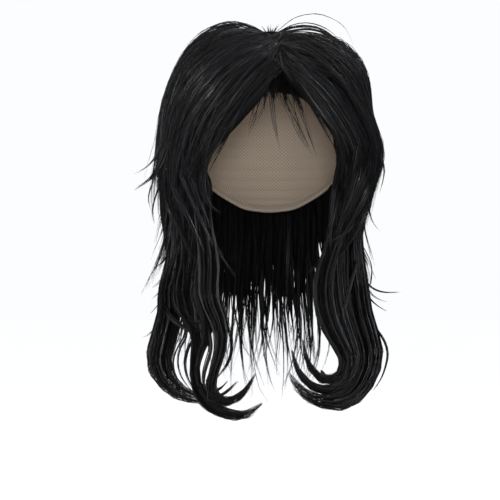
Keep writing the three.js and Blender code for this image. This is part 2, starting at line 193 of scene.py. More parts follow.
# The nape layer: the longest hair, which hangs from the lowest weft rows down the back of the neck.
# Black modacrylic fibre, heat-set with a slight bend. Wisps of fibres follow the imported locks, from
# a root in the cap to a thinned tip.
OUTSIDE = {
    "up": (27, 36, 22, -8, -48, -90, -135, -185, -240, -302, -352),
    "middle": (-14, -8, -2, 0, 0, 0, 0, 0, 0, 0, 0),
    "left": (3, 38, 73, 95, 109, 114, 114, 104, 112, 127, 112),
    "right": (3, 40, 71, 95, 103, 114, 102, 92, 98, 121, 106),
    "front": (3, 36, 74, 102, 111, 102, 84, 74, 78, 92, 100),
    "back": (3, 44, 86, 117, 134, 138, 130, 110, 100, 108, 118),
}
SEAT_POLAR = np.array((2, 24, 46, 66, 84, 103, 122))
SEAT_SIDE = (*head_point(90, SEAT_POLAR, CAP_WALL)[:, 0] / MM, 60, 58, 58, 54)
SEAT = {
    "up": (*head_point(0, SEAT_POLAR, CAP_WALL)[:, 2] / MM, -182, -240, -300, -350),
    "middle": (-13, -7, -2, 0, 0, 0, 0, 0, 0, 0, 0),
    "left": SEAT_SIDE,
    "right": SEAT_SIDE,
    "front": (*-head_point(0, SEAT_POLAR, CAP_WALL)[:, 1] / MM, 56, 50, 60, 72),
    "back": (*head_point(180, SEAT_POLAR, CAP_WALL)[:, 1] / MM, 64, 60, 66, 78),
}
FLOORS = {
    "drop": (0, 1, 1.7, 2.5, 3, 3.5, 4, 4.5, 5, 6, 7, 8),
    "crown": (0, 0, 0, 0, 0.12, 0.34, 0.45, 0.52, 0.6, 0.8, 1, 1),
    "curtain": (0, 0, 0.36, 0.4, 0.42, 0.46, 0.5, 0.54, 0.58, 0.66, 0.8, 1),
    "middle": (0, 0, 0, 0, 0, 0, 0, 0.05, 0.22, 0.35, 0.62, 1),
    "cap": (0,) * 12,
    "outside": (1,) * 12,
}
STATIONS = 20
HIGHLIGHT_SWING = 0.25


def between(column, drop):
    """A table's column at a drop, on a smooth curve through its rows, in metres."""
    values = np.asarray(column, float) * MM
    last = len(values) - 1
    drop = np.clip(drop, 0, last)
    row = np.minimum(np.floor(drop), last - 1).astype(int)
    a, b, c, d = (values[np.clip(row + step, 0, last)] for step in (-1, 0, 1, 2))
    t = drop - row
    return b + 0.5 * t * (c - a + t * (2 * a - 5 * b + 4 * c - d + t * (3 * (b - c) + d - a)))


def hair_point(turn, drop, share):
    """A point of the hair: turn round the head, drop from the whorl, share of the hair's depth."""
    turn, drop, share = np.broadcast_arrays(turn, drop, share)
    side, ahead = np.sin(np.radians(turn)), -np.cos(np.radians(turn))
    seat, outside = (np.stack((
        side * np.where(side < 0, between(rows["left"], drop), between(rows["right"], drop)),
        between(rows["middle"], drop)
        + ahead * np.where(ahead < 0, between(rows["front"], drop), between(rows["back"], drop)),
        between(rows["up"], drop),
    ), -1) for rows in (SEAT, OUTSIDE))
    return seat + (outside - seat) * share[..., None]


def upright(turn, drop):
    """Hair that hangs straight down keeps its turn."""
    return turn


def unit(vectors):
    """Vectors brought to a length of 1."""
    return vectors / np.maximum(np.linalg.norm(vectors, axis=-1, keepdims=True), 1e-9)


def colour_and_highlight_along(rng, count):
    """Random tone and painted highlight of each of a number of wisps, coming and going along it."""
    own, phase, waves = rng.uniform(0, 1, (3, count, 1))
    along = np.linspace(0, 1, STATIONS)
    return np.clip(own + HIGHLIGHT_SWING * np.sin(2 * np.pi * (phase + (1 + waves) * along)), 0, 1)


LOCK_COLUMNS = ("turn", "half", "start", "end", "lean", "hook", "flick", "taper", "settle", "notch")
LOCK_SPREAD = {
    "ragged_root": 0.1, "ragged": 0.25, "gather": 0.6, "curl": 3, "bend": 0.9, "sunk_root": 0,
    "overlap": 1.8, "widest": 12,
}
LEAN_VARIES, HOOK_VARIES, HOOK_LATENESS = 1.2, 0.12, 5
FLICK_VARIES, FLICK_SHARES = 2.5, (0.4, 1.3)
BEND_WAVES, BEND_GROWN = (0.7, 1.5), 0.4
OUTWARD_BIAS = 0.6
SETTLED_AT, SETTLED_OVER = 0.9, 0.8
NOTCHED_AT, NOTCHED_OVER = 4.45, 0.45
SUNK_OVER = 0.22
LOCK_THICK, ROOT_THICK, THICK_AFTER = 2.4 * MM, 0.3, 0.3
THINNED_BY, THINNED_FROM = 0.8, 0.35
CORE_LEAST, CORE_MOST, CORE_ROOT, CORE_FULL = 1.5 * MM, 1.5, 0.2, 0.25
FIBRE_WIDE = 0.7


def lock_wisps(locks, bed, rng, per_lock, fibres=1, depth=(0.3, 1), width=FIBRE_WIDE, **spread):
    """Wisps that fill each lock of a layer: their lines, how far fibres stray from them, and sizes.
    The bed is what lies under and over the layer, and how its hair flows. A width of "core" makes
    each wisp one thick line, the dark inside of the lock."""
    floor, roof, flow = bed
    spread = {**LOCK_SPREAD, **spread}
    count = len(locks["turn"])
    total = count * per_lock
    row = {
        name: np.repeat(np.broadcast_to(np.array(locks.get(name, 0), float), count), per_lock)[:, None]
        for name in LOCK_COLUMNS
    }

    def vary(size):
        return rng.normal(0, size, (total, 1))

    def pick(low, high):
        return rng.uniform(low, high, (total, 1))

    along = np.linspace(0, 1, STATIONS)[None]
    across = np.tile((np.arange(per_lock) + 0.5) / per_lock * 2 - 1, count)[:, None]
    across = across + pick(-1, 1) / per_lock
    start = row["start"] + pick(0, spread["ragged_root"])
    end = row["end"] + vary(spread["ragged"]) - 2 * spread["ragged"] * across ** 2 * pick(0, 1)
    drop = start + along * (end - start)
    tail = smoothstep(along, row["taper"], 1)
    half = row["half"] * (1 - spread["gather"] * tail * along)
    sweep = (row["lean"] + vary(LEAN_VARIES)) * along
    hook = row["hook"] * (1 + vary(HOOK_VARIES)) + vary(spread["curl"])
    sweep = sweep + hook * along ** HOOK_LATENESS
    bend = np.sin(2 * np.pi * (along * pick(*BEND_WAVES) + pick(0, 1)))
    sweep = sweep + spread["bend"] * bend * smoothstep(along, 0, BEND_GROWN)
    turn = flow(row["turn"] + half * across, drop) + sweep
    low, high = (np.interp(drop, FLOORS["drop"], FLOORS[name]) for name in (floor, roof))
    deep = depth[0] + (depth[1] - depth[0]) * pick(0, 1) ** OUTWARD_BIAS
    share = low + (high - low) * deep
    share = share - row["settle"] * np.exp(-((drop - SETTLED_AT) / SETTLED_OVER) ** 2)
    share = share - row["notch"] * np.exp(-((drop - NOTCHED_AT) / NOTCHED_OVER) ** 2)
    share = share * (1 - spread["sunk_root"] * (1 - smoothstep(along, 0, SUNK_OVER)))
    points, seat = hair_point(turn, drop, share), hair_point(turn, drop, 0)
    out = unit(hair_point(turn, drop, 1) - seat)
    flick = row["flick"] * pick(*FLICK_SHARES) + vary(FLICK_VARIES)
    points = points + out * (flick * MM * tail ** 2)[..., None]
    degree = hair_point(turn + 0.5, drop, share) - hair_point(turn - 0.5, drop, share)
    thinning = 1 - THINNED_BY * smoothstep(along, THINNED_FROM, 1)
    side = degree * (half / per_lock * spread["overlap"] * thinning)[..., None]
    thick = LOCK_THICK * (ROOT_THICK + (1 - ROOT_THICK) * smoothstep(along, 0, THICK_AFTER))
    lift = out * (thick * thinning)[..., None]
    room = np.linalg.norm(points - seat, axis=-1)
    most = np.clip(CORE_MOST * room, CORE_LEAST, spread["widest"] * MM)
    core = np.clip(np.linalg.norm(side, axis=-1) * 2, CORE_LEAST, most)
    core = core * (CORE_ROOT + (1 - CORE_ROOT) * smoothstep(along, 0, CORE_FULL))
    return {
        "points": points, "side": side, "lift": lift,
        "width": np.maximum(core, CORE_LEAST) if width == "core" else np.full(core.shape, width * MM),
        "fibres": np.full((total, STATIONS), fibres),
        "tone_and_highlight": colour_and_highlight_along(rng, total),
    }


# The tree that turns wisps into hair: each line becomes a number of fibres, spread across the wisp at
# the root and drawn together at the tip, cut to uneven lengths and given a tapering round section.
# Lines thicker than any fibre become the cores of the locks.
CORE_FROM, CORE_SIDES, FIBRE_SIDES = 1.4 * MM, 6, 3
SECOND_SEED = 31.0
OWN_PATCH, WAVES_A_METRE = (0.02, 0.02, 0.02), 16.0
RADIUS_TAPER = {"From Min": 0.65, "From Max": 1, "To Min": 0.5, "To Max": 0.1}
hair_tree = bpy.data.node_groups.new("fibres_along_wisps", "GeometryNodeTree")
for socket_name, way, kind in (
    ("Wisps", "INPUT", "Geometry"), ("Points", "INPUT", "Int"), ("Shortest", "INPUT", "Float"),
    ("Wander", "INPUT", "Float"), ("Seed", "INPUT", "Int"), ("Fibre", "INPUT", "Material"),
    ("Core", "INPUT", "Material"), ("Hair", "OUTPUT", "Geometry"),
):
    hair_tree.interface.new_socket(socket_name, in_out=way, socket_type=f"NodeSocket{kind}")
given = add(hair_tree, "NodeGroupInput", out=None).outputs
wisp = {
    name: add(hair_tree, "GeometryNodeInputNamedAttribute", {"Name": name}, data_type=kind)
    for name, kind in (
        ("fibres", "INT"), ("side", "FLOAT_VECTOR"), ("lift", "FLOAT_VECTOR"), ("width", "FLOAT"),
        ("core", "BOOLEAN"),
    )
}
down = add(hair_tree, "GeometryNodeSplineParameter", out="Factor")
lines = add(hair_tree, "GeometryNodeMeshToCurve", {0: given["Wisps"]})
strands = add(hair_tree, "GeometryNodeDuplicateElements", {
    "Geometry": lines, "Amount": wisp["fibres"],
}, domain="SPLINE")

curve_index = add(hair_tree, "GeometryNodeCurveOfPoint", out="Curve Index")
second_seed = add(hair_tree, "ShaderNodeMath", {0: given["Seed"], 1: SECOND_SEED}, operation="ADD")
root_stray, tip_stray = (
    add(hair_tree, "FunctionNodeRandomValue", {
        0: (-1, -1, -1), 1: (1, 1, 1), 7: curve_index, 8: seed,
    }, data_type="FLOAT_VECTOR")
    for seed in (given["Seed"], second_seed)
)
stray = add(hair_tree, "ShaderNodeMix", {
    0: down, 4: root_stray, 5: tip_stray,
}, data_type="VECTOR", out=1)
moves = {
    number: add(hair_tree, "ShaderNodeVectorMath", {0: wisp[way], 3: part}, operation="SCALE")
    for number, (way, part) in enumerate(zip(
        ("side", "lift"), add(hair_tree, "ShaderNodeSeparateXYZ", {0: stray}, out=None).outputs,
    ))
}
spread_out = add(hair_tree, "ShaderNodeVectorMath", moves, operation="ADD")
own_place = add(hair_tree, "ShaderNodeVectorMath", {
    0: root_stray, 1: OWN_PATCH, 2: add(hair_tree, "GeometryNodeInputPosition"),
}, operation="MULTIPLY_ADD")
waves = add(hair_tree, "ShaderNodeTexNoise", {
    "Vector": own_place, "Scale": WAVES_A_METRE, "Detail": 1.0,
}, out="Color")
waves = add(hair_tree, "ShaderNodeVectorMath", {0: waves, 1: (0.5, 0.5, 0.5)}, operation="SUBTRACT")
sway = add(hair_tree, "ShaderNodeMath", {0: down, 1: given["Wander"]}, operation="MULTIPLY")
waves = add(hair_tree, "ShaderNodeVectorMath", {0: waves, 3: sway}, operation="SCALE")
offset = add(hair_tree, "ShaderNodeVectorMath", {0: spread_out, 1: waves}, operation="ADD")
strands = add(hair_tree, "GeometryNodeSetPosition", {"Geometry": strands, "Offset": offset})

cut, own_shade = (
    add(hair_tree, "FunctionNodeRandomValue", {2: least, 3: 1.0, 8: seed}, data_type="FLOAT", out=1)
    for least, seed in ((given["Shortest"], given["Seed"]), (0.0, second_seed))
)
strands = add(hair_tree, "GeometryNodeTrimCurve", {0: strands, 3: cut}, mode="FACTOR")
strands = add(hair_tree, "GeometryNodeResampleCurve", {"Curve": strands, "Count": given["Points"]})
thick = add(hair_tree, "FunctionNodeCompare", {
    0: wisp["width"], 1: CORE_FROM,
}, data_type="FLOAT", operation="GREATER_THAN")
for name, value, kind, domain in (
    ("strand", own_shade, "FLOAT", "CURVE"), ("along", down, "FLOAT", "POINT"),
    ("core", thick, "BOOLEAN", "CURVE"),
):
    strands = add(hair_tree, "GeometryNodeStoreNamedAttribute", {
        "Geometry": strands, "Name": name, "Value": value,
    }, data_type=kind, domain=domain)
thinned = add(hair_tree, "ShaderNodeMapRange", {
    "Value": down, **RADIUS_TAPER,
}, interpolation_type="SMOOTHSTEP")
radius = add(hair_tree, "ShaderNodeMath", {0: wisp["width"], 1: thinned}, operation="MULTIPLY")
split = add(hair_tree, "GeometryNodeSeparateGeometry", {
    "Geometry": strands, "Selection": thick,
}, domain="CURVE", out=None).outputs
joined = add(hair_tree, "GeometryNodeJoinGeometry", out=None)
for curves, sides in ((split["Selection"], CORE_SIDES), (split["Inverted"], FIBRE_SIDES)):
    section = add(hair_tree, "GeometryNodeCurvePrimitiveCircle", {
        "Resolution": sides, 4: 1.0,
    }, mode="RADIUS")
    section = add(hair_tree, "GeometryNodeStoreNamedAttribute", {
        "Geometry": section, "Name": "around", "Value": down,
    }, data_type="FLOAT", domain="POINT")
    body = add(hair_tree, "GeometryNodeCurveToMesh", {
        "Curve": curves, "Profile Curve": section, "Scale": radius, "Fill Caps": True,
    })
    hair_tree.links.new(body, joined.inputs[0])
smooth = add(hair_tree, "GeometryNodeSetShadeSmooth", {
    "Geometry": joined.outputs[0], "Shade Smooth": True,
})
real = add(hair_tree, "GeometryNodeRealizeInstances", {"Geometry": smooth})
dressed = add(hair_tree, "GeometryNodeSetMaterial", {"Geometry": real, "Material": given["Fibre"]})
dressed = add(hair_tree, "GeometryNodeSetMaterial", {
    "Geometry": dressed, "Selection": wisp["core"], "Material": given["Core"],
})
add(hair_tree, "NodeGroupOutput", {0: dressed}, out=None)
hair_input = {item.name: item.identifier for item in hair_tree.interface.items_tree}

# Modacrylic fibre: smooth extruded filament with a soft plastic gleam, dyed a cool black. A few fibres,
# and stretches along each wisp, are coloured lighter and made glossier: random tone with painted
# highlight streaks. Real filaments are 0.08 mm thick; they are drawn about 0.7 mm so that they show.
FIBRE_BLACK, FIBRE_IOR = "#040405", 1.52
FEW_ARE_LIGHT = 4.0
modacrylic = bpy.data.materials.new("black_modacrylic_fibre")
modacrylic.use_nodes = True
dye_tree = modacrylic.node_tree
tone_and_highlight, own = (
    add(dye_tree, "ShaderNodeAttribute", attribute_name=name, out="Fac") for name in ("tone_and_highlight", "strand")
)
# Painted highlight: where the wisp's and the fibre's values are high, the base colour turns lighter grey.
sheen = add(dye_tree, "ShaderNodeMix", {0: 0.5, 2: tone_and_highlight, 3: own}, data_type="FLOAT")
colour_and_highlight_mix = add(dye_tree, "ShaderNodeMath", {0: sheen, 1: FEW_ARE_LIGHT}, operation="POWER")
black = add(dye_tree, "ShaderNodeMix", {
    0: colour_and_highlight_mix, 6: linear(FIBRE_BLACK), 7: linear("#44454c"),
}, data_type="RGBA", out=2)
gloss = add(dye_tree, "ShaderNodeMapRange", {
    "Value": sheen, "From Min": 0.2, "From Max": 0.85, "To Min": 0.95, "To Max": 0.25,
})
fill(dye_tree.nodes["Principled BSDF"], {
    "Base Color": black, "Roughness": gloss, "IOR": FIBRE_IOR, "Specular IOR Level": 0.32,
})

# The same fibre packed inside a lock: fibres lie side by side along it and shade each other, which
# leaves fine dull stripes, 0.7 mm apart as the single ones are drawn.
STRIPES_AROUND, STRIPES_ALONG, LOCKS_APART = 45.0, 2.5, 60.0
STRIPE_RELIEF = 0.4 * MM
packed = bpy.data.materials.new("black_modacrylic_packed")
packed.use_nodes = True
stripe_tree = packed.node_tree
stripe_place = {}
for number, (name, scale) in enumerate((
    ("around", STRIPES_AROUND), ("along", STRIPES_ALONG), ("strand", LOCKS_APART),
)):
    told = add(stripe_tree, "ShaderNodeAttribute", attribute_name=name, out="Fac")
    told = add(stripe_tree, "ShaderNodeMath", {0: told, 1: scale}, operation="MULTIPLY")
    stripe_place[number] = told
stripe_place = add(stripe_tree, "ShaderNodeCombineXYZ", stripe_place)
stripes = add(stripe_tree, "ShaderNodeTexNoise", {"Vector": stripe_place, "Scale": 1.0, "Detail": 2.0})
stripes = add(stripe_tree, "ShaderNodeMapRange", {"Value": stripes, "From Min": 0.4, "From Max": 0.75})
packed_black = add(stripe_tree, "ShaderNodeMix", {
    0: stripes, 6: linear(FIBRE_BLACK), 7: linear("#1b1b1e"),
}, data_type="RGBA", out=2)
packed_relief = add(stripe_tree, "ShaderNodeBump", {
    "Strength": 0.6, "Distance": STRIPE_RELIEF, "Height": stripes,
})
fill(stripe_tree.nodes["Principled BSDF"], {
    "Base Color": packed_black, "Normal": packed_relief, "Roughness": 0.6, "IOR": FIBRE_IOR,
    "Specular IOR Level": 0.1,
})

FIBRE_WANDER = 5 * MM


def hair_piece(node, *wisp_groups, seed, points=12, shortest=0.72):
    """Hair along groups of wisps, as one plain mesh that stands for a packed layer."""
    name = f"{node}_hair"
    wisps = {key: np.concatenate([group[key] for group in wisp_groups]) for key in wisp_groups[0]}
    index = np.arange(wisps["width"].size).reshape(-1, STATIONS)
    edges = np.stack((index[:, :-1], index[:, 1:]), -1).reshape(-1, 2)
    mesh = bpy.data.meshes.new(name)
    mesh.from_pydata(wisps["points"].reshape(-1, 3).tolist(), edges.tolist(), [])
    for key, kind, field in (
        ("side", "FLOAT_VECTOR", "vector"), ("lift", "FLOAT_VECTOR", "vector"),
        ("width", "FLOAT", "value"), ("fibres", "INT", "value"), ("tone_and_highlight", "FLOAT", "value"),
    ):
        mesh.attributes.new(key, kind, "POINT").data.foreach_set(field, wisps[key].ravel())
    piece = placed(name, mesh)
    modifier = piece.modifiers.new("fibres", "NODES")
    modifier.node_group = hair_tree
    for key, value in (
        ("Points", points), ("Shortest", shortest), ("Wander", FIBRE_WANDER), ("Seed", seed),
        ("Fibre", modacrylic), ("Core", packed),
    ):
        modifier[hair_input[key]] = value
    graph = bpy.context.evaluated_depsgraph_get()
    grown = bpy.data.meshes.new_from_object(
        piece.evaluated_get(graph), preserve_all_data_layers=True, depsgraph=graph,
    )
    piece.modifiers.clear()
    piece.data = grown
    grown.name = name
    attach(piece, "root")
    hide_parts(node)


rng = np.random.default_rng(11)
nape_locks = {
    "turn": (149, 164.5, 180, 195.5, 211),
    "start": (5.5, 5.6, 5.6, 5.6, 5.5),
    "end": (9.3, 9.4, 9.2, 9.4, 9.3),
    "hook": (8, 5, 0, -5, -8),
    "flick": (4, 8, 6, 8, 4),
    "half": 11, "taper": 0.7,
}
LOW_BED = ("cap", "middle", upright)
hair_piece(
    "nape_layer",
    lock_wisps(
        nape_locks, LOW_BED, rng, per_lock=20, fibres=9,
        depth=(0.2, 1), ragged=0.4, curl=6, gather=0.2, bend=1.2, overlap=2.6,
    ),
    lock_wisps(
        {**nape_locks, "end": 8.6}, LOW_BED, rng, per_lock=7,
        depth=(0.3, 0.6), width="core", overlap=2.2,
    ),
    seed=1,
)

# The long side layers: hair that falls from behind the ears in front of the shoulders and curls in
# under the chin. Black modacrylic fibre, set on a roller so that its last third turns forward.
LONG_FALL = {
    "half": (6.5, 8.5, 9.6, 9.6, 11.5), "start": (5, 4.9, 4.9, 5, 5.3), "end": (8.3, 8.3, 8.6, 8.8, 9),
    "taper": 0.8,
}
long_locks = {
    "left": {
        "turn": (-66, -80, -95, -111.5, -128), "lean": (4, 4, 4, 2, 0), "hook": (4, 7, 22, 18, 7),
        **LONG_FALL,
    },
    "right": {
        "turn": (66, 80, 95, 111.5, 128), "lean": (-2, -2, -2, 0, 0), "hook": (-3, -6, -20, -18, -7),
        **LONG_FALL,
    },
}
# The routes of curls and single wisps, as the front view shows them: across and up in mm at the
# head's middle plane from an eye 2 m away, and the share of the hair's depth that they lie at or
# how far ahead they stand.
EYE = np.array((-20, -2000, -188)) * MM
DROPS = np.linspace(1, 10, 400)
SIGHT_ROUNDS = 4
LONG_SHARE = {"up": (-260, -215, -110), "share": (1, 0.8, 0.35)}
SHARE_RISE = {"along": (0, 0.35), "share": (0.6, 1)}


def seen_at(across, up, share):
    """The point of the hair that the front view shows at a place in the head's middle plane."""
    flat = np.array((across * MM, 0, up * MM))
    point = flat.copy()
    for _ in range(SIGHT_ROUNDS):
        point[[0, 2]] = EYE[[0, 2]] + (flat - EYE)[[0, 2]] * (point[1] - EYE[1]) / -EYE[1]
        heights = between(SEAT["up"], DROPS) * (1 - share) + between(OUTSIDE["up"], DROPS) * share
        drop = np.interp(-point[2], -heights, DROPS)
        left, right = hair_point(-90, drop, share)[0], hair_point(90, drop, share)[0]
        lean = np.clip(point[0] / (right if point[0] > 0 else -left), -1, 1)
        point[1] = hair_point(np.degrees(np.arcsin(lean)), drop, share)[1]
    return point


def route_line(route):
    """A smooth line through a route's places, even along its length, and the place of each station."""
    across, up = (np.array(route[key], float) for key in ("across", "up"))
    if "ahead" in route:
        knots = np.stack((across, -np.array(route["ahead"], float), up), -1) * MM
    else:
        share = np.interp(up, LONG_SHARE["up"], LONG_SHARE["share"])
        if "share" in route:
            along = np.linspace(0, 1, len(up))
            share = np.interp(along, SHARE_RISE["along"], SHARE_RISE["share"]) * route["share"]
        knots = np.array([seen_at(*row) for row in zip(across, up, share)])
    gone = np.concatenate(([0], np.cumsum(np.linalg.norm(np.diff(knots, axis=0), axis=1))))
    place = np.interp(np.linspace(0, gone[-1], STATIONS), gone, np.arange(len(knots)))
    return np.stack([between(knots[:, axis] / MM, place) for axis in range(3)], -1), place


def route_table(columns, *rows, **same):
    """Routes from the rows of a table, by the names of its columns, with what they have in common."""
    return [{**same, **dict(zip(columns.split(), row))} for row in rows]


SEEN = "across up half fibres share"
WISP_KEYS = ("points", "side", "lift", "width", "fibres", "tone_and_highlight")
FIBRES_PER_WISP = 8
ROUTE_ROOT, ROUTE_FULL, ROUTE_THINS, ROUTE_THINNED = 0.6, 0.25, 0.45, 0.85
ROUTE_STRAY, ROUTE_OVERLAP, ROUTE_CROWDING, ROUTE_THICK = 0.3, 1.4, 0.8, 0.5
CLUMP_DEEP, CLUMP_DEEPEST, CLUMP_SINKS = 1.3, 9 * MM, (-0.8, 0.5)
CLUMP_VARIES, CLUMP_OVERLAP, CLUMP_THICK, CLUMP_COLOUR_AND_HIGHLIGHT = 0.8, 1.6, 0.5, 0.8
CLUMP_CORES, CORE_SUNK, CORE_WIDE = (-0.5, 0.5), 0.8, 1.1


def wisp_group(rows):
    """Wisps that were made one by one, as one group."""
    return {key: np.array(values) for key, values in zip(WISP_KEYS, zip(*rows))}


def route_wisps(routes, rng, width=FIBRE_WIDE):
    """Wisps side by side along each route, as wide as it says and drawn to a point at its tip."""
    along = np.linspace(0, 1, STATIONS)[:, None]
    rows = []
    for route in routes:
        line, _ = route_line(route)
        ahead = unit(np.gradient(line, axis=0))
        outward = line * (1, 1, 0)
        outward[:, 2] = np.maximum(line[:, 2] + HEAD_HIGH, 0)
        side = unit(np.cross(ahead, unit(outward)))
        lift = np.cross(side, ahead)
        half = route["half"] * MM * (ROUTE_ROOT + (1 - ROUTE_ROOT) * smoothstep(along, 0, ROUTE_FULL))
        half = half * (1 - ROUTE_THINNED * smoothstep(along, ROUTE_THINS, 1))
        count = max(1, round(route["fibres"] / FIBRES_PER_WISP))
        for across in ((np.arange(count) + 0.5) / count * 2 - 1) * (1 - 1 / count):
            rows.append((
                line + side * half * across + lift * half * rng.uniform(-ROUTE_STRAY, ROUTE_STRAY),
                side * half * (ROUTE_OVERLAP / count) ** ROUTE_CROWDING, lift * half * ROUTE_THICK,
                np.full(STATIONS, width * MM), np.full(STATIONS, round(route["fibres"] / count)),
                colour_and_highlight_along(rng, 1)[0],
            ))
    return wisp_group(rows)


def clump_wisps(clumps, rng, per_clump, fibres):
    """Wisps side by side along the line of each clump, as wide as it says, and its dark inside."""
    along = np.linspace(0, 1, STATIONS)[:, None]
    strands, cores = [], []
    for clump in clumps:
        line, place = route_line(clump)
        half = np.interp(place, np.arange(len(clump["half"])), clump["half"])[:, None] * MM
        ahead = unit(np.gradient(line, axis=0))
        side = unit(np.cross(ahead, (0, -1, 0)))
        out = np.cross(side, ahead)
        deep = np.minimum(CLUMP_DEEP * half, CLUMP_DEEPEST)
        spots = (np.arange(per_clump) + 0.5) / per_clump * 2 - 1
        for across in spots + rng.uniform(-0.5, 0.5, per_clump) / per_clump:
            stray = rng.uniform(*CLUMP_SINKS) * deep + rng.normal(0, CLUMP_VARIES) * MM * along
            strands.append((
                line + side * half * across + out * stray,
                side * half * (CLUMP_OVERLAP / per_clump), out * deep * CLUMP_THICK,
                np.full(STATIONS, FIBRE_WIDE * MM), np.full(STATIONS, fibres),
                # The curls keep less of the random tone and painted highlight.
                CLUMP_COLOUR_AND_HIGHLIGHT * colour_and_highlight_along(rng, 1)[0],
            ))
        for across in CLUMP_CORES:
            cores.append((
                line + side * half * across - out * deep * CORE_SUNK, side * 0, side * 0,
                np.maximum(half[:, 0] * CORE_WIDE, CORE_LEAST), np.ones(STATIONS, int),
                np.zeros(STATIONS),
            ))
    return wisp_group(strands), wisp_group(cores)


long_curls = {
    "left": route_table(
        "across up half",
        ((-101, -101, -94, -102, -102, -105, -110, -112, -108, -100, -91, -80, -68, -58),
         (-115, -150, -195, -225, -250, -268, -286, -299, -312, -323, -331, -335, -338, -341),
         (9, 9, 9, 10, 11, 12, 12, 12, 10, 8.5, 7, 5, 3.5, 0.6)),
        ((-80, -80, -75, -81, -76, -67, -72, -76, -76, -73, -65, -55, -43, -31, -20, -12, -7),
         (-115, -150, -195, -225, -250, -271, -286, -301, -314, -328, -340, -347, -352, -355, -353, -348,
          -341),
         (11, 11, 12, 14, 15, 10, 6, 4, 4, 5, 6.5, 6, 5, 4, 3.2, 2, 0.6)),
        ((-70, -66, -61, -62, -54, -48, -48, -52, -57, -61, -58, -47, -36, -26, -19, -14),
         (-118, -165, -200, -235, -253, -271, -285, -299, -312, -324, -335, -341, -339, -332, -322, -311),
         (8, 8, 10, 9, 8, 6.5, 4.5, 4, 4, 4.5, 5, 4, 3.5, 2.8, 1.6, 0.6)),
    ),
    "right": route_table(
        "across up half",
        ((91, 86, 82, 83, 87, 91, 99, 102, 98, 90, 78, 66, 53, 41, 31, 23, 18),
         (-112, -150, -170, -190, -225, -253, -279, -296, -311, -327, -337, -341, -340, -337, -330, -321,
          -310),
         (10, 10, 10, 11, 12, 12, 12, 11, 10, 9, 9, 8.5, 6, 5, 4.6, 3.4, 1)),
        ((77, 72, 68, 69, 74, 83, 87, 83, 75, 64, 54, 43, 34, 28, 23, 21),
         (-111, -150, -190, -225, -255, -280, -297, -311, -322, -328, -330, -326, -319, -309, -299, -287),
         (7, 9, 10, 10, 10, 9, 9, 8, 7, 5, 3.6, 3.5, 3.2, 2.6, 1.6, 0.6)),
        ((76, 73, 68, 60, 53, 54, 60, 70, 78, 76, 68, 60, 51, 44, 38, 34, 32),
         (-100, -140, -168, -193, -218, -243, -264, -283, -298, -310, -317, -320, -318, -312, -302, -291,
          -277),
         (4, 6, 6.5, 8, 9.5, 10, 9, 8, 6, 5.5, 5, 4, 3.2, 3, 2.4, 1.4, 0.6)),
        ((72, 74, 71, 64, 57, 51), (-280, -299, -312, -320, -317, -308), (4, 4, 4, 3.2, 2, 0.6)),
    ),
}
long_flicks = {
    "left": route_table(
        SEEN,
        ((-92, -100, -108, -117), (-163, -186, -200, -206), 2, 8),
        ((-94, -102, -110, -118), (-178, -206, -218, -226), 2, 8),
        ((-96, -110, -119), (-205, -228, -237), 1.2, 4),
        ((-98, -111, -120), (-220, -241, -252), 1.2, 4),
        ((-105, -114, -122, -128), (-238, -263, -273, -275), 1.5, 5),
        ((-50, -42, -38, -39, -44, -51, -58), (-235, -262, -280, -294, -305, -313, -321), 1.6, 10),
        ((-84, -83, -89, -92, -90, -84, -77), (-240, -272, -284, -298, -311, -322, -330), 1.6, 10),
        ((-76, -74, -81, -85, -84, -79, -72), (-240, -271, -284, -298, -311, -324, -334), 2, 14),
        ((-64, -59, -62, -66, -66, -60), (-258, -283, -298, -312, -326, -336), 2.5, 22),
        ((-57, -54, -56, -60, -62, -57), (-260, -283, -298, -312, -325, -335), 2, 12),
        ((-70, -67, -70, -74, -73, -68), (-258, -280, -295, -309, -322, -332), 1.8, 10),
        ((-86, -86, -93, -97, -95, -88), (-245, -272, -285, -299, -312, -324), 1.4, 8),
        ((-64, -60, -51, -42), (-318, -328, -327, -318), 1.8, 12),
        ((-66, -58, -46, -31), (-322, -333, -331, -318), 2.2, 14),
        ((-104, -108, -103, -93, -80, -68, -58), (-205, -234, -250, -261, -269, -269, -263), 4, 34, 1.04),
        ((-92, -96, -89, -77, -66), (-200, -236, -254, -261, -259), 3.5, 28, 1.05),
        ((-72, -58, -46), (-153, -178, -195), 1.2, 5),
        ((-66, -50, -34), (-163, -193, -215), 1.2, 5),
    ),
    "right": route_table(
        SEEN + " ahead",
        ((88, 98, 111, 131), (-200, -221, -229, -230), 2, 8),
        ((88, 99, 107, 117), (-205, -228, -236, -240), 1.6, 6),
        ((88, 98, 106, 117), (-212, -234, -243, -250), 1.6, 6),
        ((94, 101, 101, 97), (-186, -202, -218, -230), 1, 4),
        ((90, 102, 111, 114, 111, 106, 98), (-240, -262, -276, -289, -302, -313, -324), 2, 16, None,
         (30, 38, 48, 56, 62, 68, 72)),
        ((76, 70, 61, 53), (-296, -309, -314, -312), 1.6, 10),
        ((92, 86, 76, 72, 80), (-160, -200, -240, -275, -300), 4, 26, 1.03),
        ((90, 89, 92, 100, 106), (-175, -225, -260, -285, -305), 4, 26, 1.03),
        ((72, 58, 46, 37), (-160, -190, -203, -210), 4, 22),
        ((101, 92, 77, 63, 51), (-143, -155, -169, -178, -183), 2, 9, 1.04),
    ),
}
for side, locks in long_locks.items():
    hair_piece(
        f"long_layer_{side}",
        lock_wisps(
            locks, LOW_BED, rng, per_lock=8, fibres=8,
            depth=(0.1, 0.9), ragged=0.3, curl=4, bend=1.6,
        ),
        lock_wisps(
            {**locks, "end": 7.6, "hook": 0}, LOW_BED, rng, per_lock=5, depth=(0.3, 0.6), width="core",
        ),
        *clump_wisps(long_curls[side], rng, per_clump=15, fibres=18),
        route_wisps(long_flicks[side], rng),
        seed=2, points=16, shortest=0.9,
    )

